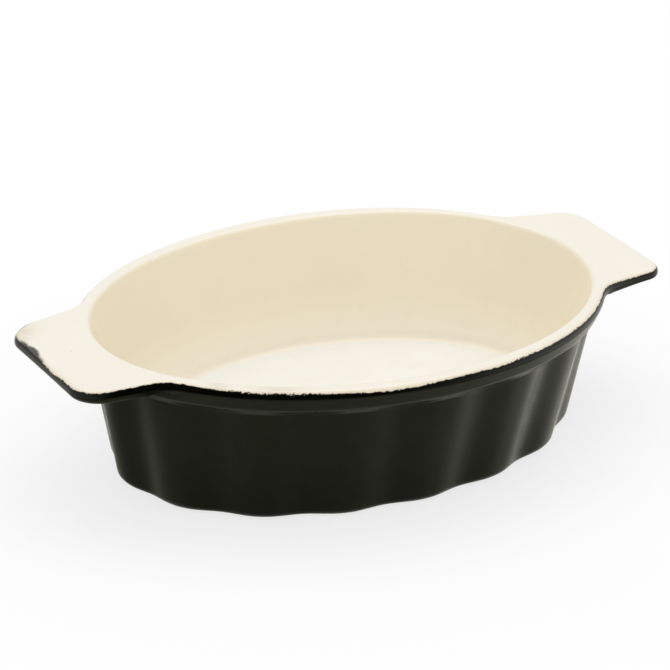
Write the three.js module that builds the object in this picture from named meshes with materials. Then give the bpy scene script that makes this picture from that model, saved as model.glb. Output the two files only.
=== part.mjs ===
// An oval stoneware baking dish with a fluted wall and a flat tab handle at each end.
// The fired clay is a bowl with two handles joined on at the rim. Cream glaze covers the inside, the rim
// and the tops of the handles, and black glaze covers the outside. The foot that stands on the table is bare.
// Millimetres, +Z up, +X along the handles. The origin is on the table, under the middle of the dish.

import * as THREE from 'three';
import { mergeVertices } from 'three/addons/utils/BufferGeometryUtils.js';

// Driving dimensions: the whole dish, in clay
const LENGTH_OVER_HANDLES = 299; // along X, tip to tip
const HANDLE_REACH = 22.8; // how far each handle stands out from the lip
const RIM_LENGTH = LENGTH_OVER_HANDLES - 2 * HANDLE_REACH; // along X, over the lip
const RIM_WIDTH = 195; // along Y, over the lip
const CLAY_HEIGHT = 70.2; // table to the top of the rim

// Driving dimensions: the rim
const RIM_THICKNESS = 7; // lip to cavity, seen from above, at the long sides
const RIM_END_THICKNESS = 5.7; // the same, at the handles
const RIM_INNER_ROUND = 3;
const EDGE_ROUND = 1.6; // where the rim and the handles turn down, outside
const LIP_HEIGHT = 3.4; // the rolled edge
const LIP_OVERHANG = 0.6; // how far the roll stands out from the top of the collar
const COLLAR_HEIGHT = 11.2; // rim top to the lower edge of the plain band
const COLLAR_TAPER = 1.6; // how far the band slants in from the lip to where it turns under
const COLLAR_TURN = 1.8; // how far in, and down, the band's lower edge turns under
const COLLAR_STEP = 0.7; // from the band's lower edge in to the crests of the flutes
const COLLAR_STEP_HEIGHT = 0.5;

// Driving dimensions: the fluted wall and the floor
const FLUTE_COUNT = 16;
const FLUTE_DEPTH = 3; // crest to valley
const VALLEY_SHARPNESS = 1.3; // 1 is a plain wave, and more makes broad crests with narrower valleys
const WALL_INSET_ENDS = 14.6; // from the lip in to the foot of the wall, at the handles
const WALL_INSET_SIDES = 20.5; // the same, at the long sides
const WALL_THICKNESS = 4.7; // from a valley at its foot in to the cavity's lower corner, at the long sides
const END_WALL_THICKNESS = 9; // the same, at the handles
const BASE_ROUND = 5; // outside, where the wall turns under
const FLOOR_THICKNESS = 11.5;
const FLOOR_FILLET = 5; // inside, where the wall meets the floor

// Driving dimensions: the foot ring
const FOOT_HEIGHT = 1.2;
const FOOT_WIDTH = 6;
const FOOT_SETBACK = 1.5; // from the turned-under wall in to the ring

// Driving dimensions: the handles
const HANDLE_TIP_WIDTH = 78.6; // before the corners are rounded
const HANDLE_FLARE = 0.175; // each side's widening for every millimetre towards the bowl
const HANDLE_CORNER_RADIUS = 11.5;
const HANDLE_ROOT_FILLET = 6; // where the sides run into the rim
const HANDLE_THICKNESS = 4.8;
const HANDLE_UNDERCUT = 1.4; // how far the tip's lower edge lies in from its upper one
const HANDLE_DROOP = 1.3; // how far the tip lies below the rim

// Driving dimensions: the glazes
const GLAZE_THICKNESS = 0.5;
const BASE_GLAZE_SETBACK = 1; // bare margin inside the foot ring

// How finely curves are cut into facets
const FACETS_PER_FLUTE = 6;
const FACETS_PER_FLUTE_AT_HANDLES = 10;
const FACETS_PER_FILLET = 2;

// Heights and lengths that follow
const floorHeight = FOOT_HEIGHT + FLOOR_THICKNESS;
const collarBottom = CLAY_HEIGHT - COLLAR_HEIGHT;
const wallTop = collarBottom - COLLAR_STEP_HEIGHT;
const collarTurnInset = LIP_OVERHANG + COLLAR_TAPER;
const collarBottomInset = collarTurnInset + COLLAR_TURN;
const wallTopInset = collarBottomInset + COLLAR_STEP;
const handleTip = LENGTH_OVER_HANDLES / 2;

const rimOval = new THREE.EllipseCurve(0, 0, RIM_LENGTH / 2, RIM_WIDTH / 2);
rimOval.arcLengthDivisions = 1440;

// The smaller of two distances, with the crease between them filled over a given width.
function smoothMinimum(a, b, width) {
  const overlap = Math.max(width - Math.abs(a - b), 0);
  return Math.min(a, b) - (overlap * overlap) / (4 * width);
}

// Signed distance, in plan, from the edge of the nearer handle tab: negative inside it.
function distanceToTab(x, y) {
  const slant = Math.hypot(1, HANDLE_FLARE);
  const halfWidth = HANDLE_TIP_WIDTH / 2 + HANDLE_FLARE * (handleTip - Math.abs(x));
  const pastTip = Math.abs(x) - handleTip + HANDLE_CORNER_RADIUS;
  const pastSide = (Math.abs(y) - halfWidth) / slant + HANDLE_CORNER_RADIUS;
  const outside = Math.hypot(Math.max(pastTip, 0), Math.max(pastSide, 0));
  const inside = Math.min(Math.max(pastTip, pastSide), 0);
  return outside + inside - HANDLE_CORNER_RADIUS;
}

// How far the edge of the rim and handles lies out from the rim oval, along its normal at one place.
function reachFromRim(point, normal) {
  const distanceAt = (out) => {
    const tab = distanceToTab(point.x + normal.x * out, point.y + normal.y * out);
    return smoothMinimum(out, tab, HANDLE_ROOT_FILLET);
  };
  let near = 0;
  let far = 2 * HANDLE_REACH + HANDLE_ROOT_FILLET;
  if (distanceAt(near) === 0) return 0;
  for (let halving = 0; halving < 40; halving += 1) {
    const middle = (near + far) / 2;
    if (distanceAt(middle) > 0) far = middle;
    else near = middle;
  }
  return near;
}

// A station is a place on the rim oval with the upright plane that crosses the wall there.
function stationAt(share) {
  const point = rimOval.getPointAt(share);
  const tangent = rimOval.getTangentAt(share);
  const normal = new THREE.Vector2(tangent.y, -tangent.x);
  const sideways = (2 * point.y / RIM_WIDTH) ** 2; // 0 at the handles, 1 at the long sides
  const wave = (1 - Math.cos(2 * Math.PI * FLUTE_COUNT * share)) / 2; // 0 on a crest, 1 in a valley
  const fluteInset = FLUTE_DEPTH * wave ** VALLEY_SHARPNESS;
  const wallInset = THREE.MathUtils.lerp(WALL_INSET_ENDS, WALL_INSET_SIDES, sideways);
  const thickness = THREE.MathUtils.lerp(END_WALL_THICKNESS, WALL_THICKNESS, sideways);
  const cavityInset = wallInset + FLUTE_DEPTH + thickness;
  const rimThickness = THREE.MathUtils.lerp(RIM_END_THICKNESS, RIM_THICKNESS, sideways);
  const reach = reachFromRim(point, normal);
  return { point, normal, fluteInset, wallInset, cavityInset, rimThickness, reach };
}

// Stations all round the rim, closer together on the flutes below the handles.
function stationsAround() {
  const stations = [];
  for (let flute = 0; flute < FLUTE_COUNT; flute += 1) {
    const edges = [flute, flute + 0.5, flute + 1].map((place) => stationAt((place / FLUTE_COUNT) % 1));
    const isBelowHandle = edges.some((edge) => edge.reach > 0);
    const facets = isBelowHandle ? FACETS_PER_FLUTE_AT_HANDLES : FACETS_PER_FLUTE;
    for (let facet = 0; facet < facets; facet += 1) {
      stations.push(stationAt((flute + facet / facets) / FLUTE_COUNT));
    }
  }
  return stations;
}

// The points that replace a corner of a path by an arc. The radius is limited by the two sides.
function roundedCorner(before, corner, after, radius, facets) {
  const back = before.clone().sub(corner);
  const ahead = after.clone().sub(corner);
  const halfAngle = Math.abs(back.angleTo(ahead)) / 2;
  const wanted = radius / Math.tan(halfAngle);
  const setback = Math.min(wanted, back.length() * 0.95, ahead.length() * 0.95);
  const arcRadius = setback * Math.tan(halfAngle);
  const start = corner.clone().addScaledVector(back.normalize(), setback);
  const end = corner.clone().addScaledVector(ahead.normalize(), setback);
  const towardsCentre = back.clone().add(ahead).normalize();
  const centre = corner.clone().addScaledVector(towardsCentre, arcRadius / Math.sin(halfAngle));
  const points = [];
  for (let facet = 0; facet <= facets; facet += 1) {
    const spoke = start.clone().lerp(end, facet / facets).sub(centre);
    points.push(centre.clone().addScaledVector(spoke.normalize(), arcRadius));
  }
  return points;
}

// The clay's outline at one station, as points (out from the rim oval, up from the table). Its runs follow
// on from each other: the cavity, the handle or lip, the collar and wall, the foot, and the recess inside it.
function claySection({ fluteInset, wallInset, cavityInset, rimThickness, reach, normal }) {
  const at = (out, up) => new THREE.Vector2(out, up);
  const reachShare = Math.min(reach / HANDLE_REACH, 1);
  const edgeThickness = THREE.MathUtils.lerp(LIP_HEIGHT, HANDLE_THICKNESS, reachShare);
  const edgeUndercut = THREE.MathUtils.lerp(LIP_OVERHANG, HANDLE_UNDERCUT, reachShare);
  const edgeTop = CLAY_HEIGHT - HANDLE_DROOP * reach * Math.abs(normal.x) / HANDLE_REACH;
  const edgeBottom = edgeTop - edgeThickness;

  const cavityMiddle = at(-cavityInset - 2 * FLOOR_FILLET, floorHeight);
  const cavityCorner = at(-cavityInset, floorHeight);
  const rimInner = at(-rimThickness, CLAY_HEIGHT);
  const seamTop = at(-EDGE_ROUND, CLAY_HEIGHT);
  const seamBottom = at(-LIP_OVERHANG, CLAY_HEIGHT - edgeThickness);

  const collarTurn = at(-collarTurnInset, collarBottom + COLLAR_TURN);
  const collarFoot = at(-collarBottomInset, collarBottom);
  const wallFoot = at(-wallInset - fluteInset, FOOT_HEIGHT);
  const wallHead = at(-wallTopInset - fluteInset, wallTop);
  const footOuter = -wallInset - FLUTE_DEPTH - BASE_ROUND - FOOT_SETBACK;
  const footInner = footOuter - FOOT_WIDTH;

  return {
    cavity: [
      ...roundedCorner(cavityMiddle, cavityCorner, rimInner, FLOOR_FILLET, FACETS_PER_FILLET),
      ...roundedCorner(cavityCorner, rimInner, seamTop, RIM_INNER_ROUND, FACETS_PER_FILLET),
      seamTop,
    ],
    edge: [
      at(reach - EDGE_ROUND, edgeTop),
      at(reach, edgeTop - EDGE_ROUND),
      at(reach - edgeUndercut, edgeBottom),
    ],
    wall: [
      seamBottom,
      collarTurn,
      collarFoot,
      wallHead,
      ...roundedCorner(wallHead, wallFoot, at(footOuter, FOOT_HEIGHT), BASE_ROUND, FACETS_PER_FILLET),
    ],
    foot: [at(footOuter, FOOT_HEIGHT), at(footOuter, 0), at(footInner, 0), at(footInner, FOOT_HEIGHT)],
    recess: at(footInner - BASE_GLAZE_SETBACK, FOOT_HEIGHT),
  };
}

// The same path, moved to its left by a distance. Points that lie on each other stay together.
function offsetPath(path, distance) {
  const isApart = (a, b) => a.distanceTo(b) > GLAZE_THICKNESS / 1000;
  const leftOf = (from, to) => {
    const along = to.clone().sub(from).normalize();
    return new THREE.Vector2(-along.y, along.x);
  };
  return path.map((point, place) => {
    const previous = path.slice(0, place).findLast((other) => isApart(other, point));
    const next = path.slice(place + 1).find((other) => isApart(other, point));
    const before = previous ? leftOf(previous, point) : leftOf(point, next);
    const after = next ? leftOf(point, next) : before;
    const bisector = before.clone().add(after);
    return point.clone().addScaledVector(bisector, distance / (1 + before.dot(after)));
  });
}

// A closed solid through a row of cross-sections with equally many points, in a ring or between two ends.
// Each four-sided face is cut from its earlier point here to its later point there, so two solids that share
// points also share faces. Points that meet are joined, and faces with no area are left out.
function sweep(sections, isRing) {
  const positions = [];
  const addTriangle = (...corners) => {
    corners.forEach(({ x, y, z }) => positions.push(x, y, z));
  };
  const last = sections[0].length - 1;
  const stepCount = isRing ? sections.length : sections.length - 1;
  for (let step = 0; step < stepCount; step += 1) {
    const here = sections[step];
    const there = sections[(step + 1) % sections.length];
    for (let place = 0; place < last; place += 1) {
      addTriangle(here[place], here[place + 1], there[place + 1]);
      addTriangle(here[place], there[place + 1], there[place]);
    }
    addTriangle(here[0], there[last], here[last]);
    addTriangle(here[0], there[0], there[last]);
  }
  if (!isRing) {
    const start = sections[0];
    const end = sections[sections.length - 1];
    for (let place = 1; place < last; place += 1) {
      addTriangle(start[0], start[place + 1], start[place]);
      addTriangle(end[0], end[place], end[place + 1]);
    }
  }
  const geometry = new THREE.BufferGeometry();
  geometry.setAttribute('position', new THREE.Float32BufferAttribute(positions, 3));
  return facingOut(mergeVertices(geometry, GLAZE_THICKNESS / 1000));
}

// Drops faces that have collapsed to a line, and turns the rest round if they point into the solid.
function facingOut(geometry) {
  const position = geometry.getAttribute('position');
  const corners = geometry.getIndex().array;
  const vertex = (index) => new THREE.Vector3().fromBufferAttribute(position, index);
  const kept = [];
  let volume = 0;
  for (let start = 0; start < corners.length; start += 3) {
    const [a, b, c] = corners.slice(start, start + 3);
    if (a === b || b === c || c === a) continue;
    kept.push([a, b, c]);
    volume += vertex(a).dot(vertex(b).cross(vertex(c))) / 6;
  }
  const facing = volume < 0 ? kept.map(([a, b, c]) => [a, c, b]) : kept;
  geometry.setIndex(facing.flat());
  geometry.computeVertexNormals();
  return geometry;
}

// Sections in space: points of a station's outline, and points on the upright axis of the dish.
const inSpace = ({ point, normal }, path) =>
  path.map(({ x: out, y: up }) => new THREE.Vector3(point.x + normal.x * out, point.y + normal.y * out, up));
const onAxis = (up) => new THREE.Vector3(0, 0, up);

// Where a handle takes the place of the lip, the bowl stops at the seam between them.
function bowlSection(station, hasHandle) {
  const { cavity, edge, wall, foot } = claySection(station);
  const seamTop = cavity[cavity.length - 1];
  const seamBottom = wall[0];
  const lip = hasHandle ? [seamTop, seamTop, seamBottom] : edge;
  const outline = inSpace(station, [...cavity, ...lip, ...wall, ...foot]);
  return [onAxis(floorHeight), ...outline, onAxis(FOOT_HEIGHT)];
}

// At both ends of each handle the bowl has two sections: one with the lip, and one cut back to the seam.
function bowlSections(stations) {
  const sections = [];
  stations.forEach((station, index) => {
    const before = stations[(index + stations.length - 1) % stations.length];
    const after = stations[(index + 1) % stations.length];
    const touchesHandle = station.reach > 0 || before.reach > 0 || after.reach > 0;
    const isEnd = touchesHandle && station.reach === 0;
    if (isEnd && before.reach > 0) sections.push(bowlSection(station, true));
    sections.push(bowlSection(station, touchesHandle && !isEnd));
    if (isEnd && after.reach > 0) sections.push(bowlSection(station, true));
  });
  return sections;
}

// A handle runs between the stations on one side of the dish where the edge leaves the rim oval.
function handleSections(stations, side) {
  const isOnSide = (station) => station.point.x * side > 0;
  const first = stations.findIndex((station, index) => {
    const after = stations[(index + 1) % stations.length];
    return isOnSide(station) && station.reach === 0 && after.reach > 0;
  });
  const sections = [];
  for (let step = 0; step < stations.length; step += 1) {
    const station = stations[(first + step) % stations.length];
    const { cavity, edge, wall } = claySection(station);
    sections.push(inSpace(station, [cavity[cavity.length - 1], ...edge, wall[0]]));
    if (step > 0 && station.reach === 0) break;
  }
  return sections;
}

// The cream coat lies on the cavity, the rim and the tops of the handles, and round the turn of the edge.
function creamSection(station) {
  const { cavity, edge, wall, foot } = claySection(station);
  const coated = cavity.length + 2;
  const clay = [...cavity, ...edge, ...wall, ...foot];
  const skin = offsetPath(clay, GLAZE_THICKNESS);
  const inner = inSpace(station, clay.slice(0, coated));
  const outer = inSpace(station, skin.slice(0, coated));
  return [onAxis(floorHeight), ...inner, ...outer.reverse(), onAxis(floorHeight + GLAZE_THICKNESS)];
}

// The black coat starts where the cream coat ends and runs down to where the wall has turned under.
function blackSection(station) {
  const { cavity, edge, wall, foot } = claySection(station);
  const start = cavity.length + 1;
  const end = cavity.length + edge.length + wall.length;
  const clay = [...cavity, ...edge, ...wall, ...foot];
  const skin = offsetPath(clay, GLAZE_THICKNESS);
  const inner = inSpace(station, clay.slice(start, end));
  const outer = inSpace(station, skin.slice(start, end));
  return [...inner, ...outer.reverse()];
}

// Black glaze also lies inside the foot ring, clear of the table.
function baseGlazeSection(station) {
  const { recess } = claySection(station);
  const below = recess.clone().setY(recess.y - GLAZE_THICKNESS);
  const outline = inSpace(station, [recess, below]);
  return [onAxis(recess.y), ...outline, onAxis(below.y)];
}

const bareClay = { color: 0xc9ad86, roughness: 0.85, metalness: 0 };
const creamGlaze = { color: 0xf3ead5, roughness: 0.2, metalness: 0 };
const blackGlaze = { color: 0x21211b, roughness: 0.15, metalness: 0 };

function piece(name, sections, isRing, finish) {
  const mesh = new THREE.Mesh(sweep(sections, isRing), new THREE.MeshStandardMaterial(finish));
  mesh.name = name;
  return mesh;
}

const stations = stationsAround();
const dish = new THREE.Group();
dish.add(
  piece('bowl', bowlSections(stations), true, bareClay),
  piece('handle_left', handleSections(stations, -1), false, bareClay),
  piece('handle_right', handleSections(stations, 1), false, bareClay),
  piece('glaze_inside', stations.map(creamSection), true, creamGlaze),
  piece('glaze_outside', stations.map(blackSection), true, blackGlaze),
  piece('glaze_base', stations.map(baseGlazeSection), true, blackGlaze),
);

export default dish;
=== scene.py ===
# Looks of the oval baking dish: smooth glaze over the fired clay, finishes, soft light and the camera.
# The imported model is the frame. Its nodes are replaced here by finer pieces of nearly the same
# sizes, with the small slips that one pressing has.
# Sizes are millimetres until a mesh is made, with +Z up and +X towards the right handle.

import math

import bpy
import numpy as np
from mathutils import Matrix, Vector


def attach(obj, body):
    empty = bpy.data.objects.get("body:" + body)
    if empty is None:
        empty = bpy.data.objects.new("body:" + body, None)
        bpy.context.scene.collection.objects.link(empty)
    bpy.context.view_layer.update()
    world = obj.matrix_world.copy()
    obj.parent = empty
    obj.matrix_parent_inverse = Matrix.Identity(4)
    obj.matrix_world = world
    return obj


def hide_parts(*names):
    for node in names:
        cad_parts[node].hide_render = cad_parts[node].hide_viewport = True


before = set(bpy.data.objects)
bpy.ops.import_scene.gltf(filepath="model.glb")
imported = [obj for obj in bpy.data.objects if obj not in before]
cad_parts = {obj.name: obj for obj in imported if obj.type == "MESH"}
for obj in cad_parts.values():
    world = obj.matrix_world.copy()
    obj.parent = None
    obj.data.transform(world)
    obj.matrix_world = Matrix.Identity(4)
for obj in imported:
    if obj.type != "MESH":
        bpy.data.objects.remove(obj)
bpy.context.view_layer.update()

METRES_PER_MILLIMETRE = 0.001

# The rim and the collar, in clay
LENGTH_OVER_HANDLES = 299.0
HANDLE_REACH = 22.8
RIM_LENGTH = LENGTH_OVER_HANDLES - 2 * HANDLE_REACH
RIM_WIDTH = 195.0
CLAY_HEIGHT = 70.2
RIM_THICKNESS = 7.0
RIM_END_THICKNESS = 5.7
RIM_INNER_ROUND = 3.0
RIM_WARP = 0.75  # how far the rim rises and dips, once on each side of the dish
RIM_LIFT = 0.2
RIGHT_END_TRIM = 1.0  # how much less the outside of the right end swells than the oval
EDGE_ROUND = 2.8
EDGE_TURN_UNDER = math.radians(14)
LIP_HEIGHT = 3.4
LIP_OVERHANG = 0.6
COLLAR_HEIGHT = 11.2
COLLAR_TAPER = 1.6
COLLAR_TURN = 1.8
COLLAR_TURN_HEIGHT = 2.6
COLLAR_TURN_ROUND = 5.0
COLLAR_STEP = 0.7
COLLAR_STEP_HEIGHT = 0.5

# The fluted wall, the floor and the foot ring
FLUTE_COUNT = 16
FLUTE_DEPTH = 3.0
VALLEY_SHARPNESS = 1.3
WALL_INSET_ENDS = 14.6
WALL_INSET_SIDES = 20.5
WALL_THICKNESS = 4.7
END_WALL_THICKNESS = 9.0
CREASE_LENGTH = 1.0  # along the wall, from the collar to where the flute runs straight
BASE_ROUND = 5.0
FLOOR_THICKNESS = 11.5
FLOOR_FILLET = 5.0
FOOT_HEIGHT = 1.2
FOOT_WIDTH = 6.0
FOOT_SETBACK = 1.5

# The handles
HANDLE_TIP_WIDTH = 78.6
HANDLE_FLARE = 0.175
HANDLE_CORNER_RADIUS = 11.5
HANDLE_ROOT_FILLET = 6.0
HANDLE_THICKNESS = 5.2
HANDLE_UNDERCUT = 1.4
HANDLE_DROOP = 1.3
HANDLE_UNDER_ROUND = 2.0
HANDLE_UNDER_FILLET = 3.0
HANDLE_GROWTH = 8.0  # reach over which the lip grows into a handle
HANDLE_SEAM_SHARE = 0.5  # how far down the collar a handle's underside may blend

# The right handle is a little flatter and narrower, thinner at its tip and squarer at its corners
RIGHT_HANDLE_DROOP = 1.0
RIGHT_TIP_WIDTH = 76.0
RIGHT_TIP_THICKNESS = 3.6
RIGHT_CORNER_RADIUS = 9.0
RIGHT_HANDLE_GROWTH = 4.0

# The glazes
GLAZE_THICKNESS = 0.5
BASE_GLAZE_SETBACK = 1.0

# Marks in the glaze, as round zones in plan: place, radius and strength
EDGE_RAGGEDNESS = 0.35
RAGGED_DEPTH = 2.5  # millimetres, where raggedness is 1
RAGGED_ZONES = [
    (-85.0, -70.0, 16.0, 0.9),
    (-66.0, -81.0, 12.0, 0.9),
    (-150.0, -12.0, 16.0, 0.7),
    (-146.0, -34.0, 12.0, 0.7),
    (45.0, -91.0, 18.0, 0.6),
    (122.0, -46.0, 16.0, 0.6),
]
LINE_SHIFT_ZONES = [  # strength is how far the line moves, in millimetres
    (-29.0, -95.0, 22.0, 1.0),
    (24.0, -95.0, 10.0, 0.45),
    (-120.0, -47.0, 18.0, -0.55),
    (-149.0, -8.0, 9.0, 0.7),
]
THIN_BLACK_ZONES = [  # strength is how wide the stain is, in millimetres
    (-150.0, 22.0, 5.0, 2.2),
    (-150.0, 13.0, 7.0, 3.4),
    (-150.0, 4.0, 4.0, 1.6),
    (-150.0, 31.0, 4.0, 1.0),
    (-141.0, 41.0, 6.0, 2.6),
]
THIN_CREAM_ZONES = [
    (-146.0, 35.0, 7.0, 1.0),
    (-147.0, 27.0, 4.0, 0.6),
    (-97.0, -62.0, 5.0, 0.8),
    (-75.0, -77.0, 10.0, 0.7),
]

# A brown speck in the glaze of the left handle
SPECK_PLACE = (-135.0, 2.9, 69.8)
SPECK_SIZE = 0.9
SPECK_BLUR = 0.5
SPECK_STRENGTH = 0.6

# How finely the pieces are cut, and how much of a side an arc may take
ARC_SHARE_LIMIT = 0.45
STATIONS_PER_FLUTE = 36
CLAY_STATIONS_PER_FLUTE = 16
FINE_STEPS = 4  # steps along a fine outline for each step along a plain one
STEPS_TO_AXIS = 6
OVAL_SAMPLES = 40001
HALVINGS = 40
SHARP_ANGLE = math.radians(55)

# The camera, as fitted to the photograph
PHOTO_WIDTH_PIXELS = 670
FOCAL_LENGTH_PIXELS = 3134.6
SENSOR_WIDTH = 36.0
CAMERA_AZIMUTH = math.radians(-29.236)
CAMERA_ELEVATION = math.radians(24.611)
CAMERA_ROLL = math.radians(0.697)
CAMERA_PLACE = Vector((-639.74, -1134.41, 647.0))

# Sizes that follow
floor_height = FOOT_HEIGHT + FLOOR_THICKNESS
collar_bottom = CLAY_HEIGHT - COLLAR_HEIGHT
wall_top = collar_bottom - COLLAR_STEP_HEIGHT
collar_turn_inset = LIP_OVERHANG + COLLAR_TAPER
collar_bottom_inset = collar_turn_inset + COLLAR_TURN
wall_top_inset = collar_bottom_inset + COLLAR_STEP
handle_tip = LENGTH_OVER_HANDLES / 2


def smooth_minimum(a, b, width):
    """The smaller of two distances, with the crease between them filled over a given width."""
    overlap = np.maximum(width - np.abs(a - b), 0)
    return np.minimum(a, b) - overlap**2 / (4 * width)


def distance_to_tab(plan):
    """Signed distance in plan from the edge of the nearer handle: negative inside it."""
    along = np.abs(plan[..., 0])
    across = np.abs(plan[..., 1])
    is_right = plan[..., 0] > 0
    tip_width = np.where(is_right, RIGHT_TIP_WIDTH, HANDLE_TIP_WIDTH)
    half_width = tip_width / 2 + HANDLE_FLARE * (handle_tip - along)
    corner_radius = np.where(is_right, RIGHT_CORNER_RADIUS, HANDLE_CORNER_RADIUS)
    past_tip = along - handle_tip + corner_radius
    past_side = (across - half_width) / math.hypot(1, HANDLE_FLARE) + corner_radius
    outside = np.hypot(np.maximum(past_tip, 0), np.maximum(past_side, 0))
    inside = np.minimum(np.maximum(past_tip, past_side), 0)
    return outside + inside - corner_radius


def distance_to_outline(plan, out):
    """Signed distance in plan from the edge of rim and handles, for points `out` from the rim oval."""
    return smooth_minimum(out, distance_to_tab(plan), HANDLE_ROOT_FILLET)


class Stations:
    """Places at equal steps along the rim oval, each with the upright plane that crosses the wall there."""

    def __init__(self, per_flute):
        self.count = FLUTE_COUNT * per_flute
        share = np.arange(self.count) / self.count
        angles = np.linspace(0, 2 * math.pi, OVAL_SAMPLES)
        oval = np.stack([RIM_LENGTH / 2 * np.cos(angles), RIM_WIDTH / 2 * np.sin(angles)], axis=1)
        lengths = np.concatenate([[0], np.cumsum(np.linalg.norm(np.diff(oval, axis=0), axis=1))])
        angle = np.interp(share * lengths[-1], lengths, angles)
        self.point = np.stack([RIM_LENGTH / 2 * np.cos(angle), RIM_WIDTH / 2 * np.sin(angle)], axis=1)
        normal = np.stack([np.cos(angle) / RIM_LENGTH, np.sin(angle) / RIM_WIDTH], axis=1)
        self.normal = normal / np.linalg.norm(normal, axis=1, keepdims=True)
        self.lift = RIM_LIFT + RIM_WARP * np.sin(2 * angle)
        sideways = np.sin(angle) ** 2
        trim = RIGHT_END_TRIM * np.maximum(np.cos(angle), 0) ** 2
        self.point = self.point - self.normal * trim[:, None]
        wave = (1 - np.cos(2 * math.pi * FLUTE_COUNT * share)) / 2
        self.flute_inset = FLUTE_DEPTH * wave**VALLEY_SHARPNESS
        self.wall_inset = WALL_INSET_ENDS + (WALL_INSET_SIDES - WALL_INSET_ENDS) * sideways
        thickness = END_WALL_THICKNESS + (WALL_THICKNESS - END_WALL_THICKNESS) * sideways
        self.cavity_inset = self.wall_inset + FLUTE_DEPTH + thickness - trim
        self.rim_thickness = RIM_END_THICKNESS + (RIM_THICKNESS - RIM_END_THICKNESS) * sideways - trim
        self.reach = self.reach_from_rim()

    def plan(self, out):
        """Plan positions of points that lie `out` from the rim oval, one or more at each station."""
        if out.ndim == 1:
            return self.point + self.normal * out[:, None]
        return self.point[:, None, :] + self.normal[:, None, :] * out[:, :, None]

    def reach_from_rim(self):
        """How far the edge of rim and handles lies out from the rim oval, found by halving."""
        near = np.zeros(self.count)
        far = np.full(self.count, 2 * HANDLE_REACH + HANDLE_ROOT_FILLET)
        for _ in range(HALVINGS):
            middle = (near + far) / 2
            is_outside = distance_to_outline(self.plan(middle), middle) > 0
            far = np.where(is_outside, middle, far)
            near = np.where(is_outside, near, middle)
        return near

    def at(self, out, up):
        """One point (out, up) of the outline at every station."""
        each = np.ones(self.count)
        return np.stack([out * each, up * each], axis=-1)

    def in_space(self, path):
        """A path of outline points (stations, points, 2) as places in space (stations, points, 3)."""
        lift = self.lift[:, None] * (path[:, :, 1] / CLAY_HEIGHT) ** 2
        up = path[:, :, 1] + lift
        return np.concatenate([self.plan(path[:, :, 0]), up[:, :, None]], axis=2)


def rounded_corner(before, corner, after, radius, steps):
    """The points that replace a corner by an arc, which takes less than half of either side."""
    back = before - corner
    ahead = after - corner
    back_length = np.linalg.norm(back, axis=1, keepdims=True)
    ahead_length = np.linalg.norm(ahead, axis=1, keepdims=True)
    back = back / back_length
    ahead = ahead / ahead_length
    half_angle = np.arccos(np.clip(np.sum(back * ahead, axis=1, keepdims=True), -1, 1)) / 2
    wanted = np.reshape(radius, (-1, 1)) / np.tan(half_angle)
    setback = np.minimum(wanted, np.minimum(back_length, ahead_length) * ARC_SHARE_LIMIT)
    arc_radius = setback * np.tan(half_angle)
    middle = back + ahead
    middle = middle / np.linalg.norm(middle, axis=1, keepdims=True)
    centre = corner + middle * arc_radius / np.sin(half_angle)
    turn = math.pi / 2 - half_angle
    sideways = (back - ahead) / np.linalg.norm(back - ahead, axis=1, keepdims=True)
    points = []
    for step in range(steps + 1):
        swing = turn * (1 - 2 * step / steps)
        points.append(centre + arc_radius * (sideways * np.sin(swing) - middle * np.cos(swing)))
    return points


def smooth_curve(start, first, second, end, steps):
    """Points on the curve that leaves its start towards one place and comes to its end from another."""
    points = []
    for step in range(1, steps + 1):
        share = step / steps
        rest = 1 - share
        near_start = start * rest**3 + first * 3 * rest**2 * share
        points.append(near_start + second * 3 * rest * share**2 + end * share**3)
    return points


def between(start, end, steps):
    """Points that divide a straight side, without its ends."""
    return [start + (end - start) * (step / steps) for step in range(1, steps)]


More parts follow.
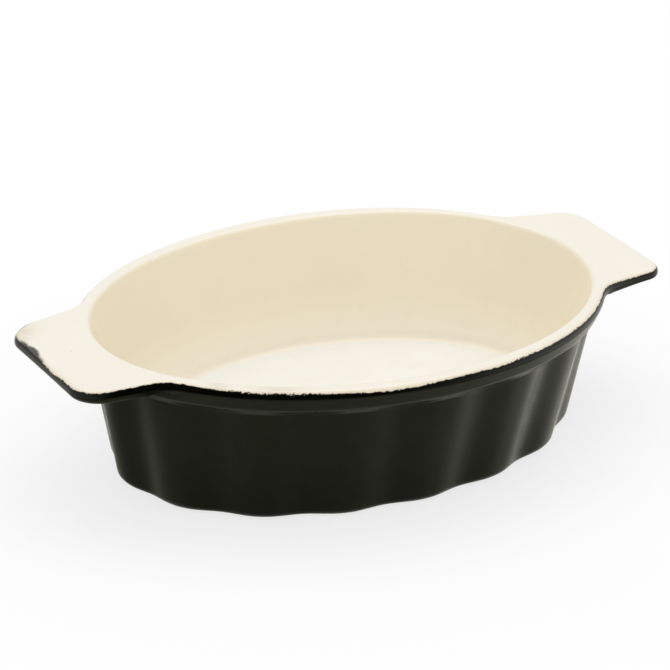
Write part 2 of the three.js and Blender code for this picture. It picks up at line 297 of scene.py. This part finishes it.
class Section:
    """The clay's outline at every station, run by run: cavity, handle or lip, collar, wall and foot."""

    def __init__(self, stations, is_fine):
        fine = FINE_STEPS if is_fine else 1
        at = stations.at
        share = np.minimum(stations.reach / HANDLE_REACH, 1)
        is_right = stations.point[:, 0] > 0
        growth_reach = np.where(is_right, RIGHT_HANDLE_GROWTH, HANDLE_GROWTH)
        growth = np.minimum(stations.reach / growth_reach, 1)
        growth = growth * growth * (3 - 2 * growth)
        tip_thickness = np.where(is_right, RIGHT_TIP_THICKNESS, HANDLE_THICKNESS)
        handle_thickness = HANDLE_THICKNESS + (tip_thickness - HANDLE_THICKNESS) * share
        edge_thickness = LIP_HEIGHT + (handle_thickness - LIP_HEIGHT) * growth
        edge_undercut = LIP_OVERHANG + (HANDLE_UNDERCUT - LIP_OVERHANG) * share
        droop = np.where(is_right, RIGHT_HANDLE_DROOP, HANDLE_DROOP)
        edge_top = CLAY_HEIGHT - droop * stations.reach * np.abs(stations.normal[:, 0]) / HANDLE_REACH
        foot_outer = -stations.wall_inset - FLUTE_DEPTH - BASE_ROUND - FOOT_SETBACK
        foot_inner = foot_outer - FOOT_WIDTH

        cavity_middle = at(-stations.cavity_inset - 2 * FLOOR_FILLET, floor_height)
        cavity_corner = at(-stations.cavity_inset, floor_height)
        rim_inner = at(-stations.rim_thickness, CLAY_HEIGHT)
        crease = at(-collar_bottom_inset, collar_bottom)
        wall_head = at(-wall_top_inset - stations.flute_inset, wall_top)
        wall_foot = at(-stations.wall_inset - stations.flute_inset, FOOT_HEIGHT)
        foot_start = at(foot_outer, FOOT_HEIGHT)

        def on_edge(reach, top, angle):
            """A place on the turned edge: 90 degrees is its start on top, 0 is upright."""
            out = reach - EDGE_ROUND * (1 - math.cos(angle))
            return at(out, top - EDGE_ROUND * (1 - math.sin(angle)))

        collar_start = on_edge(0, CLAY_HEIGHT, -EDGE_TURN_UNDER)
        collar_turn = at(-collar_turn_inset, collar_bottom + COLLAR_TURN_HEIGHT)
        turn_points = rounded_corner(collar_start, collar_turn, crease, COLLAR_TURN_ROUND, 2 * fine)

        def on_collar(share):
            """A place on the straight part of the collar, from the lip (0) to where it turns under (1)."""
            return collar_start + (turn_points[0] - collar_start) * share

        top_turn = []
        for step in range(2 * fine + 1):
            angle = math.pi / 2 * (1 - step / (2 * fine))
            top_turn.append(on_edge(stations.reach, edge_top, angle))
        under_turn = []
        for step in range(1, fine + 1):
            angle = -EDGE_TURN_UNDER * step / fine
            under_turn.append(on_edge(stations.reach, edge_top, angle))

        tab_reach = np.maximum(stations.reach, growth_reach)
        tab_start = on_edge(tab_reach, edge_top, -EDGE_TURN_UNDER)
        tab_under = at(tab_reach - edge_undercut, edge_top - edge_thickness)
        seam = at(-LIP_OVERHANG, CLAY_HEIGHT - edge_thickness)
        seam_end = on_collar(HANDLE_SEAM_SHARE)
        tab_turn = rounded_corner(tab_start, tab_under, seam, HANDLE_UNDER_ROUND, 2 * fine)
        seam_turn = rounded_corner(tab_under, seam, seam_end, HANDLE_UNDER_FILLET, 2 * fine)
        tab = [*tab_turn, *between(tab_turn[-1], seam_turn[0], 2 * fine), *seam_turn]
        under = []
        for place, tab_point in enumerate(tab):
            lip_point = on_collar(HANDLE_SEAM_SHARE * (place + 1) / (len(tab) + 1))
            under.append(lip_point + (tab_point - lip_point) * growth[:, None])
        collar = [seam_end, *between(seam_end, turn_points[0], fine + 1), *turn_points]

        floor_turn = rounded_corner(cavity_middle, cavity_corner, rim_inner, FLOOR_FILLET, 4 * fine)
        rim_turn = rounded_corner(cavity_corner, rim_inner, top_turn[0], RIM_INNER_ROUND, 2 * fine)
        flute_start = wall_head + (wall_foot - wall_head) * CREASE_LENGTH / (wall_top - FOOT_HEIGHT)
        crease_turn = smooth_curve(collar[-1], crease, wall_head, flute_start, 4 * fine)
        foot_turn = rounded_corner(wall_head, wall_foot, foot_start, BASE_ROUND, 2 * fine)

        self.cream = [
            *floor_turn,
            *between(floor_turn[-1], rim_turn[0], 3 * fine),
            *rim_turn,
            *between(rim_turn[-1], top_turn[0], 3 * fine),
            *top_turn,
        ]
        self.turn_place = len(self.cream) - len(top_turn)
        self.line_place = self.turn_place + fine
        self.black = [
            *under_turn,
            *under,
            *collar,
            *crease_turn,
            *between(crease_turn[-1], foot_turn[0], 4 * fine),
            *foot_turn,
        ]
        self.foot = [
            foot_start,
            at(foot_outer, 0),
            at(foot_inner, 0),
            at(foot_inner, FOOT_HEIGHT),
        ]
        self.recess = at(foot_inner - BASE_GLAZE_SETBACK, FOOT_HEIGHT)


def moved_out(path, distance):
    """A path of points moved to its left, which is away from the clay."""
    along = np.gradient(path, axis=1)
    along = along / np.linalg.norm(along, axis=2, keepdims=True)
    left = np.stack([-along[..., 1], along[..., 0]], axis=2)
    return path + left * distance


def towards_axis(ring, steps):
    """Rings of points that shrink from a ring towards the upright axis, nearest the axis first."""
    rings = []
    for step in range(1, steps):
        inner = ring.copy()
        inner[:, :2] *= step / steps
        rings.append(inner)
    return rings


def make_piece(name, grid, is_loop, attributes, material):
    """A closed piece swept round the dish through a grid of places (stations, points, 3).
    Its outline is a loop, or it starts and ends in points on the upright axis."""
    count, length = grid.shape[:2]
    vertices = (grid.reshape(-1, 3) * METRES_PER_MILLIMETRE).tolist()
    faces = []
    for here in range(count):
        there = (here + 1) % count
        for place in range(length if is_loop else length - 1):
            following = (place + 1) % length
            faces.append(
                (
                    here * length + place,
                    there * length + place,
                    there * length + following,
                    here * length + following,
                )
            )
    if not is_loop:
        for place, turned in ((0, True), (length - 1, False)):
            middle = len(vertices)
            vertices.append((0, 0, vertices[place][2]))
            for here in range(count):
                ends = (here * length + place, (here + 1) % count * length + place)
                faces.append((middle, *(reversed(ends) if turned else ends)))
    mesh = bpy.data.meshes.new(name)
    mesh.from_pydata(vertices, [], faces)
    mesh.update()
    for attribute_name, values in attributes.items():
        padded = np.full(len(vertices), values.flat[0])
        padded[: values.size] = values.ravel()
        attribute = mesh.attributes.new(attribute_name, "FLOAT", "POINT")
        attribute.data.foreach_set("value", padded.astype(np.float32))
    mesh.shade_smooth()
    mesh.set_sharp_from_angle(angle=SHARP_ANGLE)
    mesh.materials.append(material)
    piece = bpy.data.objects.new(name, mesh)
    bpy.context.scene.collection.objects.link(piece)
    return piece


def zone_amounts(plan, zones):
    """What each of a list of round zones gives at places in plan."""
    amounts = []
    for x, y, radius, amount in zones:
        apart = np.hypot(plan[..., 0] - x, plan[..., 1] - y)
        amounts.append(amount * np.exp(-((apart / radius) ** 2)))
    return np.array(amounts)


def linear(red, green, blue):
    """A colour given in screen values from 0 to 255, as the shader takes it."""
    parts = []
    for part in (red, green, blue):
        part = part / 255
        parts.append(part / 12.92 if part <= 0.04045 else ((part + 0.055) / 1.055) ** 2.4)
    return (*parts, 1.0)


WHITE = (1.0, 1.0, 1.0, 1.0)

# Cream glaze, plain and hazed: whiter on the level rim and floor, partly as pooled glaze and partly as
# painted light on faces that look up, and yellower where it is thin on the upright wall
RIM_CREAM_WITH_PAINTED_LIGHT = (linear(243, 237, 224), linear(242, 236, 222))
FLOOR_CREAM_WITH_PAINTED_LIGHT = (linear(245, 245, 241), linear(243, 242, 237))
WALL_CREAM = (linear(247, 236, 211), linear(246, 234, 208))
END_WALL_CREAM = linear(241, 230, 205)
LOW_WALL_CREAM = linear(252, 245, 228)
# Painted highlight: a paler cream where the wall turns into the floor
FILLET_PAINTED_HIGHLIGHT = linear(248, 240, 222)
MOTTLED_CREAM = linear(238, 227, 204)
WORN_CREAM = linear(205, 186, 150)
SPECK_BROWN = linear(150, 118, 76)
CREAM_SHINE = 0.5
CREAM_REFRACTION = 1.5

# Black glaze, and the stain that it leaves in the cream
GLOSSY_BLACK = (linear(13, 16, 8), linear(17, 19, 12))
# Painted reflection: a paler black on the left end of the wall
LEFT_WALL_PAINTED_SHEEN = linear(33, 34, 28)
# Painted shade: the black on the up-facing lip is darker
PAINTED_SHADE_LIP_BLACK = linear(7, 8, 5)
STAIN = (linear(30, 31, 27), linear(74, 74, 66))
BLACK_REFRACTION = 1.21
BLACK_TINT = (1.0, 1.0, 0.7, 1.0)

# Bare clay
BUFF = (linear(206, 180, 142), linear(188, 158, 118))
CLAY_SPECK = linear(96, 70, 48)

# Where one look gives way to another, by height in metres
LOW_HEIGHTS = (0.02, 0.035)
LOW_WALL_HEIGHTS = (0.012, 0.042)
FILLET_HIGHLIGHT_HEIGHTS = (0.013, 0.02)
WALL_HEAD_HEIGHTS = (0.056, 0.06)

# The same by place along the dish, in metres
LEFT_CAVITY_END = (-0.11, 0.0)
RIGHT_CAVITY_END = (0.1, 0.122)
LEFT_WALL_END = (-0.12, -0.098)

# The same by how far a face looks up: 1 is level and 0 is upright
RIM_SLOPES = (0.6, 0.98)
FLOOR_SLOPES = (0.93, 0.985)
# Where the painted shade on the up-facing lip begins
LIP_SHADE_SLOPES = (-0.08, 0.0)

# The same by distance in millimetres from the line where the glazes meet
LINE_EDGE = (-0.2, 0.2)
STAIN_EDGE = (-1.6, 0.5)
THIN_EDGE = (0.1, 1.6, 0.25, 0.0)  # with the strength at both

# Shine of the black glaze, varied as painted reflection and shade: from and to, in metres along the dish,
# and the shine at both
LIP_SHINE_LEFT = (-0.15, -0.135, 0.25, 0.0)
LIP_SHINE_RISE = (-0.04, 0.1, 0.0, 0.5)
LIP_SHINE_LOSS = (0.115, 0.135, 0.0, 0.25)
GLOSSY_SHINE = (-0.118, -0.1, 0.06, 0.44)
GLOSSY_SHINE_LEFT = (-0.13, -0.119, 0.4, 0.0)
GLOSSY_SHINE_RIGHT = (0.06, 0.08, 0.0, 0.18)
WALL_SHINE = (-0.05, 0.12, 0.0, 0.2)
# Painted shade: the black shines less towards the foot
SHINE_KEPT_BY_HEIGHT = (0.004, 0.04, 0.75, 1.0)  # by height, with the share that is kept

# Noise: scale for each metre, and detail
HAZE = (22.0, 2.0)
MOTTLE = (140.0, 4.0)
RAGGED = (420.0, 4.0)
TEETH = (1300.0, 3.0)
PEEL = (330.0, 2.0)
CLAY_PATCHES = (60.0, 4.0)
CLAY_GRAIN = (900.0, 4.0)
CLAY_SPECK_SCALE = 420.0

# What the noise is made into: from and to, and the value at both where it isn't 0 and 1
HAZE_SHARE = (0.35, 0.65)
STAIN_SHARE = (0.35, 0.65)
CREAM_MOTTLE_SHARE = (0.5, 0.8, 0.0, 0.2)
BLACK_MOTTLE_SHARE = (0.35, 0.7)
GLAZE_ROUGHNESS = (0.3, 0.7, 0.16, 0.24)
PATCH_SHARE = (0.3, 0.7)
CLAY_SPECK_SHARE = (0.04, 0.16, 0.7, 0.0)
CLAY_ROUGHNESS = (0.3, 0.7, 0.75, 0.95)
PEEL_BUMP = {"Strength": 0.08, "Distance": 0.0002}
GRAIN_BUMP = {"Strength": 0.3, "Distance": 0.0003}


class Nodes:
    """A few short ways to place and join shader nodes."""

    def __init__(self, material):
        material.use_nodes = True
        self.tree = material.node_tree
        self.tree.nodes.clear()

    def put(self, socket, value):
        """Joins another node's output to a socket, or gives the socket a plain value."""
        if isinstance(value, bpy.types.NodeSocket):
            self.tree.links.new(value, socket)
        else:
            socket.default_value = value

    def add(self, kind, **inputs):
        node = self.tree.nodes.new(kind)
        for name, value in inputs.items():
            self.put(node.inputs[name.replace("_", " ")], value)
        return node

    def noise(self, place, scale, detail):
        node = self.add("ShaderNodeTexNoise", Vector=place, Scale=scale, Detail=detail)
        return node.outputs["Fac"]

    def attribute(self, name):
        node = self.add("ShaderNodeAttribute")
        node.attribute_name = name
        return node.outputs["Fac"]

    def ramp(self, value, low, high, to_low=0.0, to_high=1.0):
        """A smooth step from one value to another."""
        node = self.add("ShaderNodeMapRange")
        node.interpolation_type = "SMOOTHSTEP"
        self.put(node.inputs["Value"], value)
        node.inputs["From Min"].default_value = low
        node.inputs["From Max"].default_value = high
        node.inputs["To Min"].default_value = to_low
        node.inputs["To Max"].default_value = to_high
        return node.outputs["Result"]

    def fall(self, value, low, high):
        """A smooth step from 1 down to 0."""
        return self.ramp(value, low, high, 1.0, 0.0)

    def math(self, operation, first, second):
        node = self.add("ShaderNodeMath")
        node.operation = operation
        self.put(node.inputs[0], first)
        self.put(node.inputs[1], second)
        return node.outputs["Value"]

    def distance(self, place, centre):
        node = self.add("ShaderNodeVectorMath")
        node.operation = "DISTANCE"
        self.put(node.inputs[0], place)
        self.put(node.inputs[1], centre)
        return node.outputs["Value"]

    def blend(self, share, first, second, kind="Color"):
        """The first of two colours or values, giving way to the second as the share grows to 1."""
        node = self.add("ShaderNodeMix")
        node.data_type = {"Color": "RGBA", "Float": "FLOAT"}[kind]
        for name, value in (("Factor_Float", share), (f"A_{kind}", first), (f"B_{kind}", second)):
            self.put(next(socket for socket in node.inputs if socket.identifier == name), value)
        return next(socket for socket in node.outputs if socket.identifier == f"Result_{kind}")

    def blend_value(self, share, first, second):
        return self.blend(share, first, second, kind="Float")


class GlazeNodes(Nodes):
    """The two glazes, by place on the dish and by the marks on the mesh."""

    def __init__(self, material):
        super().__init__(material)
        self.place = self.add("ShaderNodeTexCoord").outputs["Object"]
        parts = self.add("ShaderNodeSeparateXYZ", Vector=self.place).outputs
        self.along = parts["X"]
        self.height = parts["Z"]
        normal = self.add("ShaderNodeNewGeometry").outputs["Normal"]
        self.upward = self.add("ShaderNodeSeparateXYZ", Vector=normal).outputs["Z"]
        self.mottle = self.noise(self.place, *MOTTLE)
        self.ragged = self.noise(self.place, *RAGGED)
        self.on_wall = self.fall(self.height, *WALL_HEAD_HEIGHTS)
        # Faces that look down keep the glossy black; the up-facing lip gets painted shade
        self.looks_down = self.fall(self.upward, *LIP_SHADE_SLOPES)
        self.from_line = self.distance_from_line()

    def distance_from_line(self):
        """Distance in millimetres from the ragged line between the glazes, positive on the cream side."""
        teeth = self.noise(self.place, *TEETH)
        unevenness = self.math("SUBTRACT", self.math("ADD", self.ragged, teeth), 1.0)
        unevenness = self.math("MULTIPLY", unevenness, RAGGED_DEPTH)
        shift = self.math("MULTIPLY", self.attribute("raggedness"), unevenness)
        return self.math("ADD", self.attribute("edge_distance"), shift)

    def clean_cream(self):
        """Cream on the rim, the floor and the wall: whiter on level faces, partly as pooled glaze and
        partly as painted light, with a painted highlight along the floor's edge.
        """
        is_low = self.fall(self.height, *LOW_HEIGHTS)
        is_hazed = self.ramp(self.noise(self.place, *HAZE), *HAZE_SHARE)
        at_left = self.fall(self.along, *LEFT_CAVITY_END)
        at_ends = self.math("ADD", at_left, self.ramp(self.along, *RIGHT_CAVITY_END))
        wall = self.blend(is_hazed, *WALL_CREAM)
        wall = self.blend(at_ends, wall, END_WALL_CREAM)
        wall = self.blend(self.fall(self.height, *LOW_WALL_HEIGHTS), wall, LOW_WALL_CREAM)
        # Painted highlight along the floor's edge
        wall = self.blend(self.fall(self.height, *FILLET_HIGHLIGHT_HEIGHTS), wall, FILLET_PAINTED_HIGHLIGHT)
        level = self.blend(is_low, self.blend(is_hazed, *RIM_CREAM_WITH_PAINTED_LIGHT), self.blend(is_hazed, *FLOOR_CREAM_WITH_PAINTED_LIGHT))
        on_rim = self.ramp(self.upward, *RIM_SLOPES)
        on_floor = self.ramp(self.upward, *FLOOR_SLOPES)
        return self.blend(self.blend_value(is_low, on_rim, on_floor), wall, level)

    def cream(self):
        """Cream with its mottling, its thin and worn places, the speck and the stain at the line."""
        cream = self.blend(self.ramp(self.mottle, *CREAM_MOTTLE_SHARE), self.clean_cream(), MOTTLED_CREAM)
        thin_places = self.math("MULTIPLY", self.attribute("thin_cream"), self.ragged)
        thinness = self.math("MAXIMUM", self.ramp(self.from_line, *THIN_EDGE), thin_places)
        cream = self.blend(thinness, cream, WORN_CREAM)
        from_speck = self.distance(self.place, [part * METRES_PER_MILLIMETRE for part in SPECK_PLACE])
        speck_radius = SPECK_SIZE / 2 * METRES_PER_MILLIMETRE
        speck_inner = speck_radius * (1 - SPECK_BLUR)
        speck_outer = speck_radius * (1 + SPECK_BLUR)
        speck = self.ramp(from_speck, speck_inner, speck_outer, SPECK_STRENGTH, 0.0)
        cream = self.blend(speck, cream, SPECK_BROWN)
        stain = self.blend(self.ramp(self.ragged, *STAIN_SHARE), *STAIN)
        past_stain = self.math("SUBTRACT", self.from_line, self.attribute("thin_black"))
        return self.blend(self.ramp(past_stain, *STAIN_EDGE), stain, cream)

    def black(self):
        """Black, a little paler on the collar and the wall, with painted shade making the up-facing lip
        darker and a painted reflection making the left end of the wall paler still.
        """
        glossy = self.blend(self.ramp(self.mottle, *BLACK_MOTTLE_SHARE), *GLOSSY_BLACK)
        # Painted reflection on the left end of the wall
        on_left_wall = self.math("MULTIPLY", self.fall(self.along, *LEFT_WALL_END), self.on_wall)
        glossy = self.blend(on_left_wall, glossy, LEFT_WALL_PAINTED_SHEEN)
        return self.blend(self.looks_down, PAINTED_SHADE_LIP_BLACK, glossy)

    def black_shine(self):
        """How much the black mirrors, as painted reflection and shade: little on the lip, more on the
        collar and the wall, more towards the right and less towards the foot.
        """
        lip_rise = self.ramp(self.along, *LIP_SHINE_RISE)
        lip_loss = self.ramp(self.along, *LIP_SHINE_LOSS)
        lip = self.math("SUBTRACT", lip_rise, lip_loss)
        lip = self.math("ADD", self.ramp(self.along, *LIP_SHINE_LEFT), lip)
        wall = self.math("MULTIPLY", self.ramp(self.along, *WALL_SHINE), self.on_wall)
        glossy = self.math("ADD", self.ramp(self.along, *GLOSSY_SHINE), wall)
        glossy = self.math("ADD", glossy, self.ramp(self.along, *GLOSSY_SHINE_LEFT))
        glossy = self.math("ADD", glossy, self.ramp(self.along, *GLOSSY_SHINE_RIGHT))
        glossy = self.math("MULTIPLY", glossy, self.ramp(self.height, *SHINE_KEPT_BY_HEIGHT))
        return self.blend_value(self.looks_down, lip, glossy)


def glaze_material(name, index_of_refraction, tint):
    """Glaze for both coats: cream above the ragged line at the edge, black below it."""
    material = bpy.data.materials.new(name)
    nodes = GlazeNodes(material)
    is_cream = nodes.ramp(nodes.from_line, *LINE_EDGE)
    bump = nodes.add("ShaderNodeBump", Height=nodes.noise(nodes.place, *PEEL), **PEEL_BUMP)
    shader = nodes.add(
        "ShaderNodeBsdfPrincipled",
        Base_Color=nodes.blend(is_cream, nodes.black(), nodes.cream()),
        Roughness=nodes.ramp(nodes.mottle, *GLAZE_ROUGHNESS),
        IOR=index_of_refraction,
        Specular_IOR_Level=nodes.blend_value(is_cream, nodes.black_shine(), CREAM_SHINE),
        Specular_Tint=tint,
        Normal=bump.outputs["Normal"],
    )
    nodes.add("ShaderNodeOutputMaterial", Surface=shader.outputs["BSDF"])
    return material


def clay_material(name):
    """Bare fired stoneware: buff, speckled and dull."""
    material = bpy.data.materials.new(name)
    nodes = Nodes(material)
    place = nodes.add("ShaderNodeTexCoord").outputs["Object"]
    grain = nodes.noise(place, *CLAY_GRAIN)
    specks = nodes.add("ShaderNodeTexVoronoi", Vector=place, Scale=CLAY_SPECK_SCALE).outputs["Distance"]
    buff = nodes.blend(nodes.ramp(nodes.noise(place, *CLAY_PATCHES), *PATCH_SHARE), *BUFF)
    bump = nodes.add("ShaderNodeBump", Height=grain, **GRAIN_BUMP)
    shader = nodes.add(
        "ShaderNodeBsdfPrincipled",
        Base_Color=nodes.blend(nodes.ramp(specks, *CLAY_SPECK_SHARE), buff, CLAY_SPECK),
        Roughness=nodes.ramp(grain, *CLAY_ROUGHNESS),
        Normal=bump.outputs["Normal"],
    )
    nodes.add("ShaderNodeOutputMaterial", Surface=shader.outputs["BSDF"])
    return material


# The pieces
stations = Stations(STATIONS_PER_FLUTE)
section = Section(stations, is_fine=True)
clay_path = np.stack([*section.cream, *section.black, *section.foot], axis=1)
skin_path = moved_out(clay_path, GLAZE_THICKNESS)
cream_end = len(section.cream)
black_end = cream_end + len(section.black)

cream_material = glaze_material("cream_glaze", CREAM_REFRACTION, WHITE)
black_material = glaze_material("black_glaze", BLACK_REFRACTION, BLACK_TINT)
stoneware_material = clay_material("stoneware")

# Distance in millimetres from the line where the two glazes meet, positive on the cream side
clay_plan = stations.plan(clay_path[:, :, 0])
steps_along = np.linalg.norm(np.diff(clay_path, axis=1), axis=2)
run = np.concatenate([np.zeros((stations.count, 1)), np.cumsum(steps_along, axis=1)], axis=1)
turn_place = section.turn_place
edge_distance = run[:, section.line_place, None] - run
on_top = -distance_to_outline(clay_plan, clay_path[:, :, 0])
on_top = on_top - on_top[:, turn_place, None] + edge_distance[:, turn_place, None]
is_top = np.arange(clay_path.shape[1]) < turn_place
line_shift = zone_amounts(clay_plan, LINE_SHIFT_ZONES).sum(axis=0)
raggedness = zone_amounts(clay_plan, RAGGED_ZONES).max(axis=0)
clay_marks = {
    "edge_distance": np.where(is_top, on_top, edge_distance) + line_shift,
    "raggedness": np.maximum(raggedness, EDGE_RAGGEDNESS),
    "thin_black": zone_amounts(clay_plan, THIN_BLACK_ZONES).max(axis=0),
    "thin_cream": zone_amounts(clay_plan, THIN_CREAM_ZONES).max(axis=0),
}


def coat(first, last):
    """Places on a coat's face against the clay, then back along its outer face, with their marks."""
    inner = stations.in_space(clay_path[:, first:last])
    outer = stations.in_space(skin_path[:, first:last])
    marks = {}
    for mark, values in clay_marks.items():
        part = values[:, first:last]
        marks[mark] = np.concatenate([part, part[:, ::-1]], axis=1)
    return np.concatenate([inner, outer[:, ::-1]], axis=1), marks


cream_grid, cream_marks = coat(0, cream_end)
under_floor = np.stack(towards_axis(cream_grid[:, 0], STEPS_TO_AXIS), axis=1)
over_floor = np.stack(towards_axis(cream_grid[:, -1], STEPS_TO_AXIS)[::-1], axis=1)
cream_grid = np.concatenate([under_floor, cream_grid, over_floor], axis=1)
for mark, values in cream_marks.items():
    middle = np.repeat(values[:, :1], under_floor.shape[1], axis=1)
    cream_marks[mark] = np.concatenate([middle, values, middle], axis=1)
cream_coat = make_piece("cream_coat", cream_grid, False, cream_marks, cream_material)

black_grid, black_marks = coat(cream_end - 1, black_end)
black_coat = make_piece("black_coat", black_grid, True, black_marks, black_material)

recess = np.stack([section.recess, section.recess - np.array([0, GLAZE_THICKNESS])], axis=1)
base_grid = stations.in_space(recess)
base_marks = {"edge_distance": np.full(base_grid.shape[:2], -FOOT_WIDTH)}
base_coat = make_piece("base_coat", base_grid, False, base_marks, black_material)

clay_stations = Stations(CLAY_STATIONS_PER_FLUTE)
clay_section = Section(clay_stations, is_fine=False)
body_path = np.stack([*clay_section.cream, *clay_section.black, *clay_section.foot], axis=1)
clay_body = make_piece("clay_body", clay_stations.in_space(body_path), False, {}, stoneware_material)

for piece, slot, nodes_replaced in (
    (cream_coat, "cream_glaze", ["glaze_inside"]),
    (black_coat, "black_glaze", ["glaze_outside"]),
    (base_coat, "black_glaze", ["glaze_base"]),
    (clay_body, "stoneware", ["bowl", "handle_left", "handle_right"]),
):
    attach(piece, "root")
    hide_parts(*nodes_replaced)

# The floor, pale and plain, which shows white and keeps part of the shadow
FLOOR_RADIUS = 12.0
FLOOR_SIDES = 64
FLOOR_LEVEL = -0.0001
FLOOR_COLOUR = (0.96, 0.96, 0.96, 1.0)
FLOOR_GLOW_SHARE = 0.75
MIRRORED_FLOOR_COLOUR = (1.0, 0.985, 0.87, 1.0)
floor_rim = []
for side in range(FLOOR_SIDES):
    angle = 2 * math.pi * side / FLOOR_SIDES
    floor_rim.append((FLOOR_RADIUS * math.cos(angle), FLOOR_RADIUS * math.sin(angle), FLOOR_LEVEL))
floor_mesh = bpy.data.meshes.new("floor")
floor_mesh.from_pydata(floor_rim, [], [tuple(range(FLOOR_SIDES))])
floor = bpy.data.objects.new("floor", floor_mesh)
bpy.context.scene.collection.objects.link(floor)
floor_material = bpy.data.materials.new("floor")
nodes = Nodes(floor_material)
light_path = nodes.add("ShaderNodeLightPath").outputs
is_seen = nodes.math("MAXIMUM", light_path["Is Camera Ray"], light_path["Is Glossy Ray"])
is_seen = nodes.math("MAXIMUM", is_seen, light_path["Is Transmission Ray"])
matt = nodes.add("ShaderNodeBsdfDiffuse", Color=FLOOR_COLOUR)
glow_colour = nodes.blend(light_path["Is Glossy Ray"], WHITE, MIRRORED_FLOOR_COLOUR)
glow = nodes.add("ShaderNodeEmission", Color=glow_colour, Strength=1.0)
mixed = nodes.add("ShaderNodeMixShader", Fac=nodes.math("MULTIPLY", is_seen, FLOOR_GLOW_SHARE))
nodes.put(mixed.inputs[1], matt.outputs["BSDF"])
nodes.put(mixed.inputs[2], glow.outputs["Emission"])
nodes.add("ShaderNodeOutputMaterial", Surface=mixed.outputs["Shader"])
floor_mesh.materials.append(floor_material)

# Soft light from above and behind, and a dim even sky
LIGHT_DISTANCE = 2.5
LIGHT_ELEVATION = math.radians(78)
LIGHT_WIDTH = 2.8
LIGHT_DEPTH = 1.7
LIGHT_POWER = 20.0
SKY_STRENGTH = 0.8
behind = Vector((-math.sin(CAMERA_AZIMUTH), math.cos(CAMERA_AZIMUTH), 0))
light_place = behind * LIGHT_DISTANCE * math.cos(LIGHT_ELEVATION)
light_place += Vector((0, 0, LIGHT_DISTANCE * math.sin(LIGHT_ELEVATION)))
lamp = bpy.data.lights.new("key_light", "AREA")
lamp.shape = "RECTANGLE"
lamp.size = LIGHT_WIDTH
lamp.size_y = LIGHT_DEPTH
lamp.energy = LIGHT_POWER
key_light = bpy.data.objects.new("key_light", lamp)
key_light.location = light_place
key_light.rotation_euler = (-light_place).to_track_quat("-Z", "Y").to_euler()
bpy.context.scene.collection.objects.link(key_light)

world = bpy.data.worlds.new("sky")
bpy.context.scene.world = world
world.use_nodes = True
world.node_tree.nodes["Background"].inputs["Color"].default_value = WHITE
world.node_tree.nodes["Background"].inputs["Strength"].default_value = SKY_STRENGTH

# The camera
right = Vector((math.cos(CAMERA_AZIMUTH), math.sin(CAMERA_AZIMUTH), 0))
towards_camera = -behind * math.cos(CAMERA_ELEVATION) + Vector((0, 0, math.sin(CAMERA_ELEVATION)))
up = right.cross(-towards_camera)
camera_right = math.cos(CAMERA_ROLL) * right + math.sin(CAMERA_ROLL) * up
camera_up = -math.sin(CAMERA_ROLL) * right + math.cos(CAMERA_ROLL) * up
lens = bpy.data.cameras.new("camera")
lens.sensor_width = SENSOR_WIDTH
lens.lens = SENSOR_WIDTH * FOCAL_LENGTH_PIXELS / PHOTO_WIDTH_PIXELS
camera = bpy.data.objects.new("camera", lens)
turn = Matrix((camera_right, camera_up, towards_camera)).transposed().to_4x4()
camera.matrix_world = Matrix.Translation(CAMERA_PLACE * METRES_PER_MILLIMETRE) @ turn
bpy.context.scene.collection.objects.link(camera)
bpy.context.scene.camera = camera
bpy.context.scene.view_settings.view_transform = "Standard"
